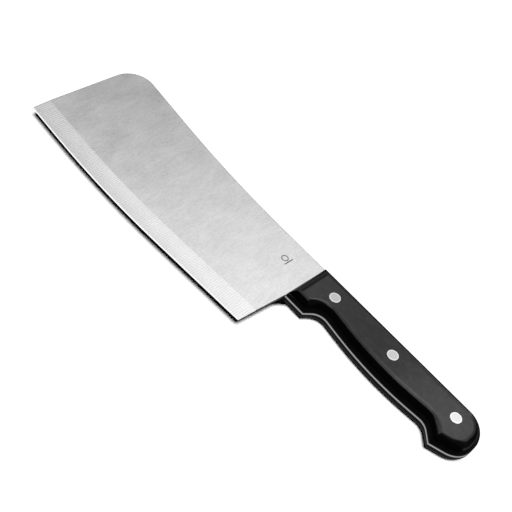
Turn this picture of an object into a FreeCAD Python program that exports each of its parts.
"""Meat cleaver with a full-tang blade and two handle scales held by three cutler's rivets.

Every outline is drawn in the handle's own plan view: x = 0 on the front rivet, +x towards the
butt, y = 0 on the line of the rivets, +y towards the spine, z = 0 on the blade's mid-plane.
The finished pieces are then moved to the part's frame: the cleaver lies flat, its lowest face
is on z = 0 and the origin is under the centre of its overall box.
"""
import FreeCAD, Part
import math
import os

Vector = FreeCAD.Vector

# Handle and rivets (millimetres)
RIVET_X = {"front": 0.0, "middle": 39.4, "rear": 80.0}
HANDLE_FRONT_X = -16.5
HANDLE_BUTT_X = 95.0
HANDLE_SPINE_Y = 11.6
GUARD_Y = -16.2
SCALE_THICKNESS = 5.7
SCALE_EDGE_RADIUS = 5.2

# Blade
BLADE_THICKNESS = 1.8
BLADE_BACK_X = -17.0
BLADE_TIP_X = -179.6
BLADE_SPINE_Y = 13.0
BLADE_TIP_SPINE_Y = 23.25
HEEL_X = -19.0
HEEL_Y = -46.3
TIP_CORNER_RADIUS = 0.5
TIP_SPINE_RADIUS = 13.5

# Ground bevel: the wide grind, then the narrow honed bevel at the very edge
GRIND_WIDTH = 11.0
HONED_WIDTH = 0.6
HONED_THICKNESS = 0.46
EDGE_THICKNESS = 0.10

# Two-part cutler's rivet: a socket from above and a stud from below
HEAD_RADIUS = 3.1
HEAD_DEPTH = 1.2
HEAD_CHAMFER = 0.2
SLEEVE_RADIUS = 2.0
SLEEVE_REACH = 3.4                                 # below the mid-plane, into the lower scale
BORE_RADIUS = 1.2
BORE_ROOF_THICKNESS = 1.8
STUD_END_GAP = 0.3
HOLE_CLEARANCE = 0.05
HEAD_CLEARANCE = 0.03
STUD_CLEARANCE = 0.03

# Sizes that only help the construction
CUTTER_RUN_OUT = 8.0
CUTTER_CLEARANCE = 1.0
HEIGHT_TOLERANCE = 0.01

HALF_BLADE = BLADE_THICKNESS / 2
HALF_HANDLE = HALF_BLADE + SCALE_THICKNESS
HEAD_BOTTOM = HALF_HANDLE - HEAD_DEPTH
BORE_TOP = HALF_HANDLE - BORE_ROOF_THICKNESS

# Corners are (x, y, radius of the rounding at that corner)
HANDLE_CORNERS = [
    (-4.3, GUARD_Y, 0.0),                          # finger guard
    (0.9, -8.4, 8.0),                              # finger groove
    (38.9, -14.05, 187.0),                         # shallow belly
    (72.3, -10.45, 8.0),                           # neck before the hook
    (79.7, -17.1, 0.0),                            # hook that stops the hand sliding off
    (HANDLE_BUTT_X, -11.4, 11.5),                  # lower side of the butt
    (HANDLE_BUTT_X, HANDLE_SPINE_Y, 13.0),         # upper side of the butt
]

BLADE_CORNERS = [
    (HEEL_X, HEEL_Y, 1.0),
    (-116.0, -52.5, 630.0),                        # belly of the cutting edge
    (BLADE_TIP_X, -48.25, TIP_CORNER_RADIUS),
    (BLADE_TIP_X, BLADE_TIP_SPINE_Y, TIP_SPINE_RADIUS),
    (-90.0, BLADE_SPINE_Y, 700.0),                 # spine rises gently towards the tip
    (BLADE_BACK_X, BLADE_SPINE_Y, 0.0),
    (BLADE_BACK_X, GUARD_Y, 0.0),
]


def rounded_outline(corners, closed=True):
    """Return a wire of straight lines joined by arcs that are tangent to them."""
    points = [Vector(x, y, 0) for x, y, radius in corners]
    count = len(corners)
    starts = []
    ends = []
    arcs = []
    for index, (x, y, radius) in enumerate(corners):
        here = points[index]
        is_free_end = not closed and index in (0, count - 1)
        if radius == 0 or is_free_end:
            starts.append(here)
            ends.append(here)
            arcs.append(None)
            continue
        back = (points[index - 1] - here).normalize()
        ahead = (points[(index + 1) % count] - here).normalize()
        half_turn = (math.pi - back.getAngle(ahead)) / 2
        reach = radius * math.tan(half_turn)
        middle = (back + ahead).normalize() * (radius / math.cos(half_turn) - radius)
        starts.append(here + back * reach)
        ends.append(here + ahead * reach)
        arcs.append(Part.Arc(starts[-1], here + middle, ends[-1]).toShape())
    edges = []
    for index in range(count):
        if arcs[index]:
            edges.append(arcs[index])
        if closed or index < count - 1:
            edges.append(Part.makeLine(ends[index], starts[(index + 1) % count]))
    return Part.Wire(edges)


def plate(outline, z_low, z_high):
    """Return the flat plate with this outline between two heights."""
    face = Part.Face(outline)
    face.translate(Vector(0, 0, z_low))
    return face.extrude(Vector(0, 0, z_high - z_low))


def handle_outline(front_x):
    """Return the outline that the tang and both scales share, from front_x to the butt."""
    front = [(front_x, HANDLE_SPINE_Y, 0.0), (front_x, GUARD_Y, 0.0)]
    return rounded_outline(front + HANDLE_CORNERS)


def post(radius, z_low, z_high, x=0.0):
    """Return an upright cylinder between two heights, on the line of the rivets."""
    return Part.makeCylinder(radius, z_high - z_low, Vector(x, 0, z_low))


def rivet_bores(radius, z_low, z_high):
    """Return one upright cylinder on each rivet's axis."""
    return Part.makeCompound([post(radius, z_low, z_high, x) for x in RIVET_X.values()])


def rim_edges(shape, height):
    """Return the edges that lie wholly at this height, such as the rim of a flat top."""
    return [edge for edge in shape.Edges if edge.BoundBox.ZMin > height - HEIGHT_TOLERANCE]


def turned_over(shape):
    """Return the mirror image of a shape below the blade's mid-plane."""
    return shape.mirror(Vector(0, 0, 0), Vector(0, 0, 1))


def grinding_cutter():
    """Return the steel removed above the blade's bevels, as a profile swept along the edge."""
    heel, belly, tip = BLADE_CORNERS[:3]
    slope_heel = (heel[1] - belly[1]) / (heel[0] - belly[0])
    slope_tip = (tip[1] - belly[1]) / (tip[0] - belly[0])
    start = (heel[0] + CUTTER_RUN_OUT, heel[1] + CUTTER_RUN_OUT * slope_heel, 0.0)
    finish = (tip[0] - CUTTER_RUN_OUT, tip[1] - CUTTER_RUN_OUT * slope_tip, 0.0)
    path = rounded_outline([start, belly, finish], closed=False)
    inward_and_height = [
        (-CUTTER_CLEARANCE, EDGE_THICKNESS / 2),
        (0.0, EDGE_THICKNESS / 2),
        (HONED_WIDTH, HONED_THICKNESS / 2),
        (GRIND_WIDTH, HALF_BLADE),
        (GRIND_WIDTH, HALF_BLADE + CUTTER_CLEARANCE),
        (-CUTTER_CLEARANCE, HALF_BLADE + CUTTER_CLEARANCE),
    ]
    across = Vector(-slope_heel, 1, 0).normalize()
    base = Vector(start[0], start[1], 0)
    corners = [base + across * inward + Vector(0, 0, height) for inward, height in inward_and_height]
    profile = Part.makePolygon(corners + corners[:1])
    return path.makePipeShell([profile], True, True)


def make_blade():
    """Return the stamped and ground blade with its full tang, one piece of steel."""
    blade = plate(rounded_outline(BLADE_CORNERS), -HALF_BLADE, HALF_BLADE)
    cutter = grinding_cutter()
    blade = blade.cut(cutter).cut(turned_over(cutter))
    tang = plate(handle_outline(BLADE_BACK_X), -HALF_BLADE, HALF_BLADE)
    tang = tang.cut(rivet_bores(SLEEVE_RADIUS + HOLE_CLEARANCE, -HALF_BLADE, HALF_BLADE))
    return blade.fuse(tang)


def make_upper_scale():
    """Return the handle scale above the tang, with its outer edge fully rounded."""
    scale = plate(handle_outline(HANDLE_FRONT_X), HALF_BLADE, HALF_HANDLE)
    scale = scale.makeFillet(SCALE_EDGE_RADIUS, rim_edges(scale, HALF_HANDLE))
    scale = scale.cut(rivet_bores(SLEEVE_RADIUS + HOLE_CLEARANCE, HALF_BLADE, HALF_HANDLE))
    return scale.cut(rivet_bores(HEAD_RADIUS + HEAD_CLEARANCE, HEAD_BOTTOM, HALF_HANDLE))


def rivet_head():
    """Return a flat round head whose top, with a small chamfer, is flush with the handle."""
    head = post(HEAD_RADIUS, HEAD_BOTTOM, HALF_HANDLE)
    return head.makeChamfer(HEAD_CHAMFER, rim_edges(head, HALF_HANDLE))


def make_rivet_socket():
    """Return the rivet half with a hollow sleeve, its head on top."""
    sleeve = post(SLEEVE_RADIUS, -SLEEVE_REACH, HEAD_BOTTOM)
    bore = post(BORE_RADIUS, -SLEEVE_REACH, BORE_TOP)
    return rivet_head().fuse(sleeve).removeSplitter().cut(bore)


def make_rivet_stud():
    """Return the rivet half with a solid pin, its head underneath."""
    pin = post(BORE_RADIUS - STUD_CLEARANCE, -HEAD_BOTTOM, BORE_TOP - STUD_END_GAP)
    return turned_over(rivet_head()).fuse(pin).removeSplitter()


def make_parts():
    """Return every piece of the cleaver by name, in plan-view coordinates."""
    parts = {
        "blade": make_blade(),
        "handle_scale_upper": make_upper_scale(),
        "handle_scale_lower": turned_over(make_upper_scale()),
    }
    for place, x in RIVET_X.items():
        parts["rivet_socket_" + place] = make_rivet_socket().translated(Vector(x, 0, 0))
        parts["rivet_stud_" + place] = make_rivet_stud().translated(Vector(x, 0, 0))
    return parts


def main():
    os.makedirs("parts", exist_ok=True)
    parts = make_parts()
    box = Part.makeCompound(list(parts.values())).optimalBoundingBox()
    to_part_frame = Vector(-box.Center.x, -box.Center.y, -box.ZMin)
    for name, shape in parts.items():
        shape.translate(to_part_frame)
        shape.exportStep("parts/" + name + ".step")
        print(name, len(shape.Solids), "solid, valid:", shape.isValid(), round(shape.Volume, 1), "mm3")
    print("overall", round(box.XLength, 2), round(box.YLength, 2), round(box.ZLength, 2), "mm")


main()
